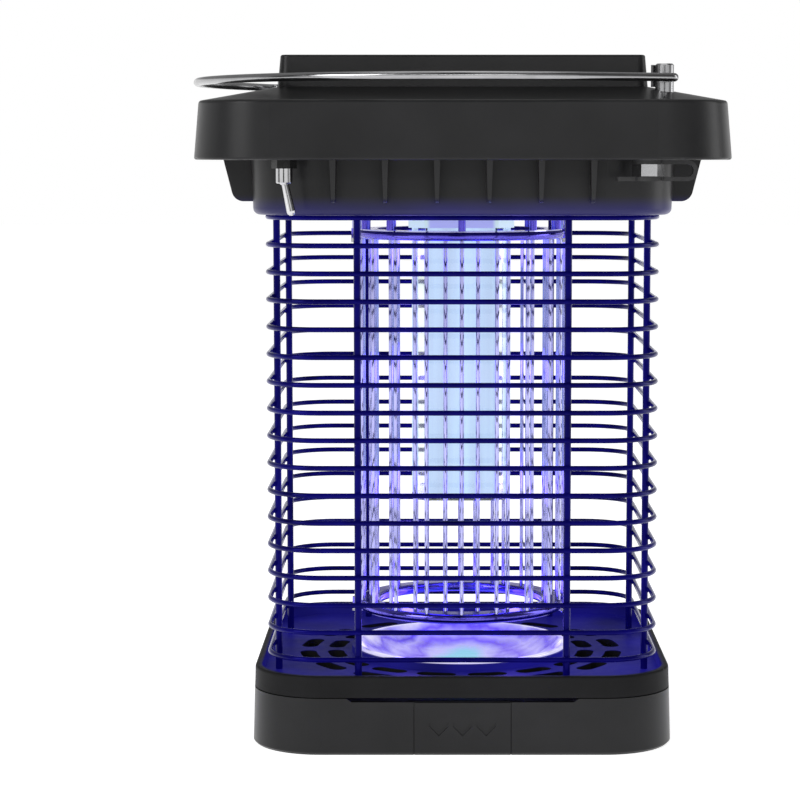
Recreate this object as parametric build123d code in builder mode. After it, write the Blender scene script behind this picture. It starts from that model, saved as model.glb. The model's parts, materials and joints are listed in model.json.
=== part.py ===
"""Electric bug zapper: a rechargeable, solar-topped insect lantern.

Frame: origin on the table under the middle of the base, +Z up, -Y to the front
(the side with the tray's pull tab, the switch and the charging socket), +X to
the right.  All lengths are millimetres, all angles degrees.
"""
from build123d import *
from math import atan, cos, degrees, radians, sin, tan
import os

os.makedirs("parts", exist_ok=True)

# ---------------------------------------------------------------- driving dimensions

# base: a drawer tray under a slotted deck, both rounded squares with a slight draft
base_half = 72.1          # half-width where the base meets the table
base_top_half = 71.3
base_corner = 24.0
shell_wall = 2.2
tray_floor = 2.4
foot_chamfer = 0.9
tray_top = 19.3
tray_back_top = 12.5      # the back wall is low, to pass under the funnel and rails
deck_bottom = 19.6
deck_floor_top = 22.2
deck_top = 26.8
body_gap = 0.4            # space between pieces that move past each other
apron_half = 56.6         # half-width of the deck's fixed rear apron
apron_inner_y = 69.2

# tray front: grip slot and pull tab
grip_half = 39.9
grip_z = 18.1
tab_half = 16.5
tab_back_y = 70.4

# runners: rails hang from the deck, ledges on the tray's walls ride above them
rail_x = 49.5             # inner face of the rail's web
rail_web = 2.0
rail_reach = 6.5
rail_bottom = 13.3
rail_plate = 1.6
rail_half_length = 55.0
ledge_inner = 52.3
ledge_outer = 70.1
ledge_bottom = 15.4

# deck grating: two circles of curved slots
slot_circles = (45.5, 55.5)
slot_width = 6.0
slot_span = 10.0          # degrees between the centres of a slot's round ends
slots_per_circle = 16

# funnel that drops insects from the deck into the tray
collar_hole = 37.2
collar_outer = 39.6
collar_top = 24.4
funnel_rim = 38.6
funnel_top = 25.2
funnel_mouth = 36.6
throat_radius = 14.0
throat_z = 13.0

# wire cage
ring_count = 17
ring_first_z = 31.5
ring_pitch = 9.329
ring_half = 66.0
ring_corner = 18.0
ring_wire = 1.75
post_wire = 2.4
post_near = 35.3
post_far = 63.95
post_foot_z = 20.2
post_top_z = 191.0

# high-voltage grid: two circles of rods between two insulating rings
rods_per_circle = 18
outer_rod_circle = 35.8
inner_rod_circle = 32.5
outer_rod_start = 90
inner_rod_start = 100
rod_wire = 1.45
rod_inset = 1.2           # how far a rod's free end stops short of the ring's face
grid_ring_outer = 37.3
grid_ring_inner = 29.0
grid_ring_round = 1.6
ear_radius = 2.0
top_ring_z = 171.9        # underside of the top ring
top_ring_height = 3.4
bottom_ring_z = 38.0
bottom_ring_height = 3.5
bus_height = 0.8
bus_width = 1.9
bus_tab_width = 3.2
stay_circle = 37.4
stay_wire = 2.0
stay_top_z = 189.0
stay_nut_height = 1.6
stay_nut_radius = 1.8
spacer_radius = 1.7
hanger_circle = 35.3      # uprights that carry the top ring
hanger_wire = 2.6
hanger_turns = (-75, -45, 0, 45, 75)

# ultraviolet lamp column
lamp_flats = 35.0
lamp_chamfer = 5.0
lamp_wall = 1.2
lamp_bottom_z = 79.0
lamp_top_z = 188.0
lamp_collar_flats = 37.4
lamp_collar_chamfer = 5.7
lamp_collar_z = 175.9
diffuser_width = 23.8
diffuser_thickness = 1.2
core_width = 21.0
core_wall = 1.5
core_bottom_z = 83.0
board_width = 17.0
board_thickness = 1.0
led_count = 6
led_size = 3.5
led_height = 0.9
socket_flats = 44.0
socket_top_z = 190.4

# head: collar, floor and the brim that closes the lid from below
collar_low_half = 70.9
collar_high_half = 71.8
head_corner = 23.5
head_bottom_z = 181.5
head_floor_z = 184.2
head_floor_top = 186.4
brim_z = 200.0
brim_top = 202.4
brim_half = 87.2
brim_corner = 24.7
rib_offsets = (8.6, 25.6, 42.7)
rib_top_thickness = 2.1
rib_low_thickness = 1.2
rib_top_reach = 9.7
rib_low_reach = 6.0
rib_bottom_z = 185.8
rib_round = 4.0

# lid: drafted skirt and shallow pyramid roof
lid_half = 89.5
lid_corner = 27.0
skirt_top_z = 219.4
skirt_top_half = 87.8
roof_top_z = 224.2
roof_top_half = 61.8
roof_corner = 4.0
lid_screw_xy = 76.0
screw_radius = 1.5
screw_head_radius = 2.8

# raised housing of the solar panel
housing_top_half = 60.8
housing_top_z = 234.8
panel_half = 56.9
panel_seat_z = 231.4
panel_back = 1.2
cell_thickness = 0.25
glass_thickness = 1.45
housing_screw_xy = 50.0
housing_screw_radius = 1.3

# bail handle: a wire half-circle hinged on the lid's diagonal
bail_z = 227.0
bail_radius = 93.6
bail_wire = 2.8
bail_end_angle = 22.0
bail_bend_radius = 2.5
bail_pin_inner = 89.5
bail_post_xy = 66.6
bail_post_radius = 3.1
bail_post_foot = 222.1
bail_post_top = 231.6
bail_plate_width = 5.0
bail_plate_thickness = 0.9
bail_plate_foot = 223.95
bail_plate_top = 231.2
bail_stud_bottom = 210.6
bail_boss_bottom = 213.0
running_clearance = 0.05

# toggle switch under the front left of the overhang
toggle_x = -58.5
toggle_y = -80.0
toggle_tilt = 12.1        # lever's lean to either side of upright
toggle_pivot_z = 193.4
toggle_length = 11.85     # pivot to tip
toggle_ball = 1.9
bushing_radius = 2.75
bushing_bore = 2.0
bushing_bottom_z = 192.35
toggle_nut_z = 197.2
toggle_nut_radius = 3.6

# charging socket under the front right of the overhang, with its rubber dust plug
jack_x = 60.3
jack_y = -80.0
jack_barrel = 3.3
jack_bore = 2.8
jack_nut_z = 194.7
jack_nut_radius = 4.5
strap_ring_z = 198.6
plug_bottom_z = 193.1
strap_thickness = 1.4
strap_width = 3.4
strap_reach = 16.1

# electronics on the head floor
cell_radius = 9.2
cell_length = 65.0
cell_rows = (32.6, 51.8)
holder_plate = 1.6
board_z = 192.0
pcb_thickness = 1.6
pcb_low = (-64.0, -56.0)
pcb_high = (-25.0, 18.0)
lead_radius = 0.7


# ---------------------------------------------------------------- helpers

LOW = (Align.CENTER, Align.CENTER, Align.MIN)


def save(piece, name):
    """Label a finished piece and write it as its own STEP file."""
    piece.part.label = name
    export_step(piece.part, f"parts/{name}.step")


def base_half_at(z):
    """Half-width of the drafted base at a height above the table."""
    return base_half - z * (base_half - base_top_half) / deck_top


def drafted_block(low_half, low_z, high_half, high_z, low_corner):
    """Solid rounded square whose four sides lean as it rises."""
    lean = degrees(atan((low_half - high_half) / (high_z - low_z)))
    with BuildPart() as block:
        with BuildSketch(Plane.XY.offset(low_z)):
            RectangleRounded(2 * low_half, 2 * low_half, low_corner)
        extrude(amount=high_z - low_z, taper=lean)
    return block.part


def roof_block(low_half, low_z, low_corner, high_half, high_z, high_corner):
    """Shallow pyramid between two rounded squares."""
    with BuildPart() as block:
        with BuildSketch(Plane.XY.offset(low_z)):
            RectangleRounded(2 * low_half, 2 * low_half, low_corner)
        with BuildSketch(Plane.XY.offset(high_z)):
            RectangleRounded(2 * high_half, 2 * high_half, high_corner)
        loft(ruled=True)
    return block.part


def octagon_prism(flats, cut, low_z, high_z):
    """Square prism with its four upright corners cut off."""
    with BuildPart() as prism:
        with BuildSketch(Plane.XY.offset(low_z)) as outline:
            Rectangle(flats, flats)
            chamfer(outline.vertices(), cut)
        extrude(amount=high_z - low_z)
    return prism.part


def mirrored_places(near, far):
    """The eight places at (+-near, +-far) and (+-far, +-near)."""
    places = [(x * near, y * far) for x in (-1, 1) for y in (-1, 1)]
    places += [(x * far, y * near) for x in (-1, 1) for y in (-1, 1)]
    return places


def corner_places(distance):
    """The four places at (+-distance, +-distance)."""
    return [(x * distance, y * distance) for x in (-1, 1) for y in (-1, 1)]


def at_height(places, z):
    """Lift plan positions to a height."""
    return [(x, y, z) for x, y in places]


def hex_nuts(places, z, height, flat_radius, hole):
    """Plain hexagonal nuts standing on a height."""
    with BuildPart() as nuts:
        with BuildSketch(Plane.XY.offset(z)):
            with Locations(*places):
                RegularPolygon(flat_radius, 6, major_radius=False)
                Circle(hole, mode=Mode.SUBTRACT)
        extrude(amount=height)
    return nuts


# ---------------------------------------------------------------- tray (drawer) and its pull tab

with BuildPart() as tray_outer:
    add(drafted_block(base_half, 0, base_half_at(tray_top), tray_top, base_corner))
    chamfer(tray_outer.faces().sort_by(Axis.Z)[0].edges(), foot_chamfer)

with BuildPart() as tray:
    add(tray_outer.part)
    inner_half = base_half - shell_wall
    add(
        drafted_block(
            inner_half, tray_floor, inner_half - 0.6, tray_floor + tray_top, base_corner - shell_wall
        ),
        mode=Mode.SUBTRACT,
    )
    # ledges that ride above the deck's rails
    for side in (-1, 1):
        with Locations((side * (ledge_inner + ledge_outer) / 2, 0, ledge_bottom)):
            Box(ledge_outer - ledge_inner, 2 * rail_half_length, rail_plate, align=LOW)
    # low part of the back wall
    with Locations((0, base_half, tray_back_top)):
        Box(2 * (apron_half + body_gap), 12, 12, align=LOW, mode=Mode.SUBTRACT)
    # thicker wall behind the pull tab, then the tab's recess
    with Locations((0, -tab_back_y + 1.2, 0)):
        Box(2 * tab_half + 4, 1.8, grip_z, align=LOW)
    with Locations((0, -base_half - 3, 0)):
        Box(2 * tab_half, 2 * (base_half + 3 - tab_back_y), grip_z, align=LOW, mode=Mode.SUBTRACT)
    # grip slot with slanted ends along the top of the front wall
    with BuildSketch(Plane.XZ.offset(base_half + 1)):
        with BuildLine():
            Polyline(
                (-grip_half, tray_top + 0.5),
                (-grip_half + 2.4, grip_z),
                (grip_half - 2.4, grip_z),
                (grip_half, tray_top + 0.5),
                close=True,
            )
        make_face()
    extrude(amount=-5, mode=Mode.SUBTRACT)
save(tray, "tray")

with BuildPart() as pull_tab:
    add(tray_outer.part)
    with Locations((0, -base_half - 3, 0)):
        Box(
            2 * (tab_half - 0.25), 2 * (base_half + 3 - tab_back_y), grip_z - 0.2,
            align=LOW, mode=Mode.INTERSECT,
        )
    # three engraved chevrons that point the way the hand pulls
    with BuildSketch(Plane.XZ.offset(base_half + 1)):
        with Locations((-8, 9), (0, 9), (8, 9)):
            Polygon(
                (-3.2, 2.4), (0, -0.8), (3.2, 2.4), (3.2, 0.8), (0, -2.4), (-3.2, 0.8), align=None
            )
    extrude(amount=-1.65, mode=Mode.SUBTRACT)
save(pull_tab, "pull_tab")

# ---------------------------------------------------------------- deck and funnel

with BuildPart() as apron:
    add(drafted_block(base_half, 0, base_top_half, deck_top, base_corner))
    with Locations((0, apron_inner_y, tray_back_top + body_gap)):
        Box(
            2 * apron_half, 10, deck_bottom + 0.5 - tray_back_top - body_gap,
            align=(Align.CENTER, Align.MIN, Align.MIN), mode=Mode.INTERSECT,
        )

inner_slot = CenterArc((0, 0), slot_circles[0], -slot_span / 2, slot_span)
outer_slot = CenterArc((0, 0), slot_circles[1], -slot_span / 2, slot_span)

with BuildPart() as base_deck:
    add(
        drafted_block(
            base_half_at(deck_bottom), deck_bottom, base_top_half, deck_top, base_corner
        )
    )
    fillet(base_deck.faces().sort_by(Axis.Z)[-1].edges(), 0.8)
    with BuildSketch(Plane.XY.offset(deck_floor_top)):
        RectangleRounded(
            2 * (base_top_half - shell_wall), 2 * (base_top_half - shell_wall), base_corner - shell_wall
        )
    extrude(amount=deck_top, mode=Mode.SUBTRACT)
    with Locations((0, 0, deck_floor_top)):
        Cylinder(collar_outer, collar_top - deck_floor_top, align=LOW)
    with Locations((0, 0, deck_bottom)):
        Cylinder(collar_hole, deck_top, align=LOW, mode=Mode.SUBTRACT)
    with BuildSketch(Plane.XY.offset(deck_bottom)):
        with PolarLocations(0, slots_per_circle, start_angle=180 / slots_per_circle):
            SlotArc(inner_slot, slot_width)
            SlotArc(outer_slot, slot_width)
    extrude(amount=deck_floor_top - deck_bottom, mode=Mode.SUBTRACT)
    # rails that carry the tray, and the apron above its low back wall
    for side in (-1, 1):
        with Locations((side * (rail_x + rail_web / 2), 0, rail_bottom)):
            Box(rail_web, 2 * rail_half_length, deck_bottom - rail_bottom + 0.2, align=LOW)
        with Locations((side * (rail_x + rail_reach / 2), 0, rail_bottom)):
            Box(rail_reach, 2 * rail_half_length, rail_plate, align=LOW)
    add(apron.part)
    # sockets for the feet of the cage posts
    with Locations(*at_height(mirrored_places(post_near, post_far), post_foot_z)):
        Cylinder(post_wire / 2, deck_top, align=LOW, mode=Mode.SUBTRACT)
save(base_deck, "base_deck")

with BuildPart() as funnel:
    with BuildSketch(Plane.XZ):
        with BuildLine():
            ThreePointArc((funnel_mouth, funnel_top), (26.5, 17.7), (throat_radius, throat_z + 0.9))
            Line((throat_radius, throat_z + 0.9), (throat_radius, throat_z))
            ThreePointArc((throat_radius, throat_z), (26.4, 16.5), (36.6, 23.6))
            Polyline(
                (36.6, 23.6),
                (collar_hole - 0.1, collar_top),
                (funnel_rim, collar_top),
                (funnel_rim, funnel_top),
                (funnel_mouth, funnel_top),
            )
        make_face()
    revolve(axis=Axis.Z)
    fillet(funnel.edges().filter_by(GeomType.CIRCLE).sort_by(SortBy.RADIUS)[-1:], 0.35)
save(funnel, "funnel")

# ---------------------------------------------------------------- wire cage

with BuildPart() as one_ring:
    with BuildLine() as ring_path:
        FilletPolyline(
            (-ring_half, -ring_half), (ring_half, -ring_half), (ring_half, ring_half),
            (-ring_half, ring_half), radius=ring_corner, close=True,
        )
    with BuildSketch(Plane(origin=ring_path.line @ 0, z_dir=ring_path.line % 0)):
        Circle(ring_wire / 2)
    sweep()

with BuildPart() as cage_rings:
    with Locations(*[(0, 0, ring_first_z + i * ring_pitch) for i in range(ring_count)]):
        add(one_ring.part)
save(cage_rings, "cage_rings")

with BuildPart() as cage_posts:
    with Locations(*at_height(mirrored_places(post_near, post_far), post_foot_z)):
        Cylinder(post_wire / 2, post_top_z - post_foot_z, align=LOW)
save(cage_posts, "cage_posts")

post_nuts = hex_nuts(mirrored_places(post_near, post_far), head_floor_top, 1.6, 2.0, post_wire / 2)
save(post_nuts, "post_nuts")

# ---------------------------------------------------------------- high-voltage grid

stay_places = [(-stay_circle, 0), (stay_circle, 0)]
top_ring_top = top_ring_z + top_ring_height
bottom_ring_top = bottom_ring_z + bottom_ring_height
outer_foot_z = bottom_ring_z + rod_inset
inner_head_z = top_ring_top - rod_inset
outer_bus_z = top_ring_top - bus_height


def bus_plate(radius, low, stay_side):
    """Flat ring with a tab out to one stay."""
    with BuildPart() as plate:
        with BuildSketch(Plane.XY.offset(low)):
            Circle(radius + bus_width / 2)
            Circle(radius - bus_width / 2, mode=Mode.SUBTRACT)
            with Locations((stay_side * (radius + stay_circle) / 2, 0)):
                Rectangle(stay_circle - radius, bus_tab_width)
            with Locations((stay_side * stay_circle, 0)):
                Circle(bus_tab_width / 2)
        extrude(amount=bus_height)
    return plate.part


def rod_circle(radius, start, low, high):
    """One circle of upright rods."""
    with BuildPart() as rods:
        with Locations((0, 0, low)):
            with PolarLocations(radius, rods_per_circle, start_angle=start):
                Cylinder(rod_wire / 2, high - low, align=LOW)
    return rods


def stay_pins(low, high):
    """The two stays between two heights."""
    with BuildPart() as pins:
        with Locations(*at_height(stay_places, low)):
            Cylinder(stay_wire / 2, high - low, align=LOW)
    return pins


def insulating_ring(low, height, plate):
    """Moulded ring with rounded edges, an ear for each stay and a groove for its bus ring."""
    with BuildPart() as ring:
        with BuildSketch(Plane.XZ):
            with Locations(((grid_ring_outer + grid_ring_inner) / 2, low + height / 2)):
                RectangleRounded(grid_ring_outer - grid_ring_inner, height, grid_ring_round)
        revolve(axis=Axis.Z)
        with Locations(*at_height(stay_places, low)):
            Cylinder(ear_radius, height, align=LOW)
        add(plate, mode=Mode.SUBTRACT)
        add(outer_grid_rods.part, mode=Mode.SUBTRACT)
        add(inner_grid_rods.part, mode=Mode.SUBTRACT)
        add(grid_stays.part, mode=Mode.SUBTRACT)
    return ring


outer_grid_rods = rod_circle(outer_rod_circle, outer_rod_start, outer_foot_z, top_ring_top)
save(outer_grid_rods, "outer_grid_rods")

inner_grid_rods = rod_circle(inner_rod_circle, inner_rod_start, bottom_ring_z, inner_head_z)
save(inner_grid_rods, "inner_grid_rods")

grid_stays = stay_pins(bottom_ring_z - stay_nut_height - 0.6, stay_top_z)
save(grid_stays, "grid_stays")

grid_top_ring = insulating_ring(
    top_ring_z, top_ring_height, bus_plate(outer_rod_circle, outer_bus_z, -1)
)
save(grid_top_ring, "grid_top_ring")

grid_bottom_ring = insulating_ring(
    bottom_ring_z, bottom_ring_height, bus_plate(inner_rod_circle, bottom_ring_z, 1)
)
save(grid_bottom_ring, "grid_bottom_ring")

with BuildPart() as outer_bus_ring:
    add(bus_plate(outer_rod_circle, outer_bus_z, -1))
    add(outer_grid_rods.part, mode=Mode.SUBTRACT)
    add(grid_stays.part, mode=Mode.SUBTRACT)
save(outer_bus_ring, "outer_bus_ring")

with BuildPart() as inner_bus_ring:
    add(bus_plate(inner_rod_circle, bottom_ring_z, 1))
    add(inner_grid_rods.part, mode=Mode.SUBTRACT)
    add(grid_stays.part, mode=Mode.SUBTRACT)
save(inner_bus_ring, "inner_bus_ring")

with BuildPart() as grid_hangers:
    with Locations((0, 0, top_ring_top)):
        for turn in hanger_turns:
            with PolarLocations(hanger_circle, 2, start_angle=90 + turn):
                Cylinder(hanger_wire / 2, head_floor_z - top_ring_top, align=LOW)
save(grid_hangers, "grid_hangers")

with BuildPart() as grid_spacers:
    with Locations(*at_height(stay_places, top_ring_top)):
        Cylinder(spacer_radius, head_floor_z - top_ring_top, align=LOW)
        Cylinder(stay_wire / 2, head_floor_z - top_ring_top, align=LOW, mode=Mode.SUBTRACT)
save(grid_spacers, "grid_spacers")

with BuildPart() as stay_nuts:
    for nut_z in (head_floor_top, top_ring_z - stay_nut_height, bottom_ring_z - stay_nut_height):
        add(hex_nuts(stay_places, nut_z, stay_nut_height, stay_nut_radius, stay_wire / 2).part)
save(stay_nuts, "stay_nuts")

# ---------------------------------------------------------------- ultraviolet lamp column

inner_flats = lamp_flats - 2 * lamp_wall
inner_chamfer = lamp_chamfer - 0.7
cap_top_z = lamp_bottom_z + lamp_wall

with BuildPart() as lamp_sleeve:
    add(octagon_prism(lamp_flats, lamp_chamfer, cap_top_z, lamp_top_z))
    add(octagon_prism(inner_flats, inner_chamfer, cap_top_z, lamp_top_z), mode=Mode.SUBTRACT)
save(lamp_sleeve, "lamp_sleeve")

with BuildPart() as lamp_end_cap:
    add(octagon_prism(lamp_flats, lamp_chamfer, lamp_bottom_z, cap_top_z))
    add(octagon_prism(inner_flats, inner_chamfer, cap_top_z, cap_top_z + 1))
    fillet(lamp_end_cap.faces().sort_by(Axis.Z)[0].edges(), 0.4)
save(lamp_end_cap, "lamp_end_cap")

with BuildPart() as lamp_collar:
    add(octagon_prism(lamp_collar_flats, lamp_collar_chamfer, lamp_collar_z, head_floor_z))
    add(octagon_prism(lamp_flats, lamp_chamfer, lamp_collar_z, head_floor_z), mode=Mode.SUBTRACT)
save(lamp_collar, "lamp_collar")

diffuser_low_z = cap_top_z + 1
with BuildPart() as diffuser_panels:
    with Locations((0, 0, diffuser_low_z)):
        with PolarLocations((inner_flats - diffuser_thickness) / 2, 4):
            Box(diffuser_thickness, diffuser_width, lamp_top_z - diffuser_low_z, align=LOW)
save(diffuser_panels, "diffuser_panels")

core_height = lamp_top_z - core_bottom_z
with BuildPart() as led_core:
    add(octagon_prism(core_width, 1.5, core_bottom_z, lamp_top_z))
    with Locations((0, 0, core_bottom_z + core_wall)):
        Box(
            core_width - 2 * core_wall, core_width - 2 * core_wall, core_height,
            align=LOW, mode=Mode.SUBTRACT,
        )
save(led_core, "led_core")

led_board_low = core_bottom_z + 2
led_board_high = head_floor_z - 1
with BuildPart() as led_boards:
    with Locations((0, 0, led_board_low)):
        with PolarLocations((core_width + board_thickness) / 2, 4):
            Box(board_thickness, board_width, led_board_high - led_board_low, align=LOW)
save(led_boards, "led_boards")

led_pitch = (led_board_high - led_board_low) / led_count
led_face = core_width / 2 + board_thickness
with BuildPart() as led_chips:
    for row in range(led_count):
        with Locations((0, 0, led_board_low + (row + 0.5) * led_pitch)):
            with PolarLocations(led_face + led_height / 2, 4):
                Box(led_height, led_size, led_size)
save(led_chips, "led_chips")

with BuildPart() as lamp_socket:
    add(octagon_prism(socket_flats, 8, head_floor_top, socket_top_z))
    add(octagon_prism(lamp_flats, lamp_chamfer, head_floor_top, lamp_top_z), mode=Mode.SUBTRACT)
    with Locations((0, 0, lamp_top_z)):
        Cylinder(6, 4, align=LOW, mode=Mode.SUBTRACT)
save(lamp_socket, "lamp_socket")

# ---------------------------------------------------------------- head

with BuildPart() as rib:
    with BuildSketch(Plane.YZ):
        with BuildLine():
            Polyline(
                (-collar_high_half + 1, brim_z + 0.5),
                (-collar_high_half - rib_top_reach, brim_z + 0.5),
                (-collar_high_half - rib_low_reach, rib_bottom_z),
                (-collar_high_half + 1, rib_bottom_z),
                close=True,
            )
        low_corner = make_face().vertices().group_by(Axis.Y)[0].sort_by(Axis.X)[0]
        fillet(low_corner, rib_round)
    extrude(amount=rib_top_thickness / 2, both=True)
    # both faces of a rib lean in as it goes down
    with BuildSketch(Plane.XZ):
        with BuildLine():
            Polyline(
                (-rib_top_thickness / 2, brim_z + 0.5),
                (rib_top_thickness / 2, brim_z + 0.5),
                (rib_low_thickness / 2, rib_bottom_z),
                (-rib_low_thickness / 2, rib_bottom_z),
                close=True,
            )
        make_face()
    extrude(amount=collar_high_half + rib_top_reach + 1, mode=Mode.INTERSECT)

rib_places = [
    Location((0, 0, 0), (0, 0, turn)) * Location((side * offset_x, 0, 0))
    for turn in (0, 90, 180, 270)
    for side in (-1, 1)
    for offset_x in rib_offsets
]

with BuildPart() as head_base:
    add(drafted_block(collar_low_half, head_bottom_z, collar_high_half, brim_top, head_corner))
    fillet(head_base.faces().sort_by(Axis.Z)[0].edges(), 2.2)
    with BuildSketch(Plane.XY.offset(brim_z)):
        RectangleRounded(2 * brim_half, 2 * brim_half, brim_corner)
    extrude(amount=brim_top - brim_z)
    with Locations(rib_places):
        add(rib.part)
    # hollow above the floor and shallow recess below it
    with BuildSketch(Plane.XY.offset(head_floor_top)):
        RectangleRounded(
            2 * (collar_high_half - shell_wall), 2 * (collar_high_half - shell_wall),
            head_corner - shell_wall,
        )
    extrude(amount=brim_top - head_floor_top, mode=Mode.SUBTRACT)
    with BuildSketch(Plane.XY.offset(head_bottom_z)):
        RectangleRounded(
            2 * (collar_low_half - shell_wall - 0.4), 2 * (collar_low_half - shell_wall - 0.4),
            head_corner - shell_wall,
        )
    extrude(amount=head_floor_z - head_bottom_z, mode=Mode.SUBTRACT)
    # openings in the floor: lamp, cage posts and grid stays
    add(octagon_prism(lamp_flats, lamp_chamfer, head_floor_z, head_floor_top), mode=Mode.SUBTRACT)
    with Locations(*at_height(mirrored_places(post_near, post_far), head_floor_z)):
        Cylinder(post_wire / 2, head_floor_top - head_floor_z, align=LOW, mode=Mode.SUBTRACT)
    with Locations(*at_height(stay_places, head_floor_z)):
        Cylinder(stay_wire / 2, head_floor_top - head_floor_z, align=LOW, mode=Mode.SUBTRACT)
    # openings in the brim: switch, charging socket and countersunk lid screws
    with Locations((toggle_x, toggle_y, brim_z)):
        Cylinder(bushing_radius, 3, align=LOW, mode=Mode.SUBTRACT)
    with Locations((jack_x, jack_y, brim_z)):
        Cylinder(jack_barrel, 3, align=LOW, mode=Mode.SUBTRACT)
    with Locations(*at_height(corner_places(lid_screw_xy), brim_z)):
        Cylinder(screw_radius, 3, align=LOW, mode=Mode.SUBTRACT)
        Cone(
            screw_head_radius, screw_radius, screw_head_radius - screw_radius,
            align=LOW, mode=Mode.SUBTRACT,
        )
save(head_base, "head_base")

with BuildPart() as lid_screws:
    with Locations(*at_height(corner_places(lid_screw_xy), brim_z)):
        Cylinder(screw_radius, 14, align=LOW)
        Cone(screw_head_radius, screw_radius, screw_head_radius - screw_radius, align=LOW)
    with Locations(*at_height(corner_places(lid_screw_xy), brim_z)):
        Box(3.4, 0.7, 0.6, align=LOW, mode=Mode.SUBTRACT)
        Box(0.7, 3.4, 0.6, align=LOW, mode=Mode.SUBTRACT)
save(lid_screws, "lid_screws")

# ---------------------------------------------------------------- lid

bail_posts_xy = [(bail_post_xy, -bail_post_xy), (-bail_post_xy, bail_post_xy)]
cavity_half = brim_half - 1.5
plate_bottom_z = roof_top_z - shell_wall

with BuildPart() as lid_cavity:
    add(drafted_block(brim_half, brim_z, brim_half, brim_top, brim_corner))
    add(drafted_block(brim_half, brim_top, cavity_half, skirt_top_z - 2, brim_corner))
    add(
        roof_block(
            cavity_half, skirt_top_z - 2, brim_corner - 1.5, roof_top_half - 1.9, plate_bottom_z, 3.0
        )
    )

with BuildPart() as lid:
    add(drafted_block(lid_half, brim_z, skirt_top_half, skirt_top_z, lid_corner))
    add(
        roof_block(
            skirt_top_half, skirt_top_z, lid_corner - lid_half + skirt_top_half,
            roof_top_half, roof_top_z, roof_corner,
        )
    )
    fillet(lid.edges().filter_by_position(Axis.Z, skirt_top_z - 0.1, skirt_top_z + 0.1), 1.2)
    fillet(lid.faces().sort_by(Axis.Z)[0].edges(), 0.8)
    add(lid_cavity.part, mode=Mode.SUBTRACT)
    # bosses for the lid screws and for the bail posts
    with Locations(*at_height(corner_places(lid_screw_xy), brim_top)):
        Cylinder(3.6, skirt_top_z - brim_top, align=LOW)
        Cylinder(screw_radius, 14 - brim_top + brim_z, align=LOW, mode=Mode.SUBTRACT)
    with Locations(*at_height(bail_posts_xy, bail_boss_bottom)):
        Cylinder(5.4, bail_post_foot - 0.6 - bail_boss_bottom, align=LOW)
        Cylinder(1.5, 12, align=LOW, mode=Mode.SUBTRACT)
    with Locations(*at_height(bail_posts_xy, bail_post_foot)):
        Cylinder(bail_post_radius, 5, align=LOW, mode=Mode.SUBTRACT)
    with Locations(*at_height(corner_places(housing_screw_xy), plate_bottom_z)):
        Cylinder(housing_screw_radius, 3, align=LOW, mode=Mode.SUBTRACT)
save(lid, "lid")

# ---------------------------------------------------------------- solar panel and its housing

housing_ceiling = panel_seat_z - 1.2
with BuildPart() as solar_housing:
    add(drafted_block(roof_top_half, roof_top_z, housing_top_half, housing_top_z, roof_corner))
    fillet(solar_housing.faces().sort_by(Axis.Z)[-1].edges(), 0.8)
    with BuildSketch(Plane.XY.offset(panel_seat_z)):
        RectangleRounded(2 * panel_half, 2 * panel_half, 2)
    extrude(amount=5, mode=Mode.SUBTRACT)
    with BuildSketch(Plane.XY.offset(roof_top_z)):
        RectangleRounded(2 * (roof_top_half - shell_wall), 2 * (roof_top_half - shell_wall), 2)
    extrude(amount=housing_ceiling - roof_top_z, mode=Mode.SUBTRACT)
    with Locations(*at_height(corner_places(housing_screw_xy), roof_top_z)):
        Cylinder(3.4, housing_ceiling - roof_top_z, align=LOW)
        Cylinder(housing_screw_radius, 5, align=LOW, mode=Mode.SUBTRACT)
save(solar_housing, "solar_housing")

with BuildPart() as housing_screws:
    with Locations(*at_height(corner_places(housing_screw_xy), plate_bottom_z)):
        Cylinder(housing_screw_radius, shell_wall + 5, align=LOW)
    with Locations(*at_height(corner_places(housing_screw_xy), plate_bottom_z - 1.8)):
        Cylinder(2.6, 1.8, align=LOW)
save(housing_screws, "housing_screws")

cell_bottom_z = panel_seat_z + panel_back
glass_bottom_z = cell_bottom_z + cell_thickness

with BuildPart() as panel_backsheet:
    with BuildSketch(Plane.XY.offset(panel_seat_z)):
        RectangleRounded(2 * panel_half, 2 * panel_half, 2)
    extrude(amount=panel_back)
save(panel_backsheet, "panel_backsheet")

with BuildPart() as solar_cells:
    with BuildSketch(Plane.XY.offset(cell_bottom_z)):
        with GridLocations(54.0, 18.0, 2, 6):
            Rectangle(52.6, 16.8)
    extrude(amount=cell_thickness)
save(solar_cells, "solar_cells")

with BuildPart() as panel_glass:
    with BuildSketch(Plane.XY.offset(glass_bottom_z)):
        RectangleRounded(2 * panel_half, 2 * panel_half, 2)
    extrude(amount=glass_thickness)
    chamfer(panel_glass.faces().sort_by(Axis.Z)[-1].edges(), 0.3)
save(panel_glass, "panel_glass")

# ---------------------------------------------------------------- bail handle and its posts

diagonal = Plane(origin=(0, 0, bail_z), x_dir=(1, -1, 0), z_dir=(0, 0, -1))


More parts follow.
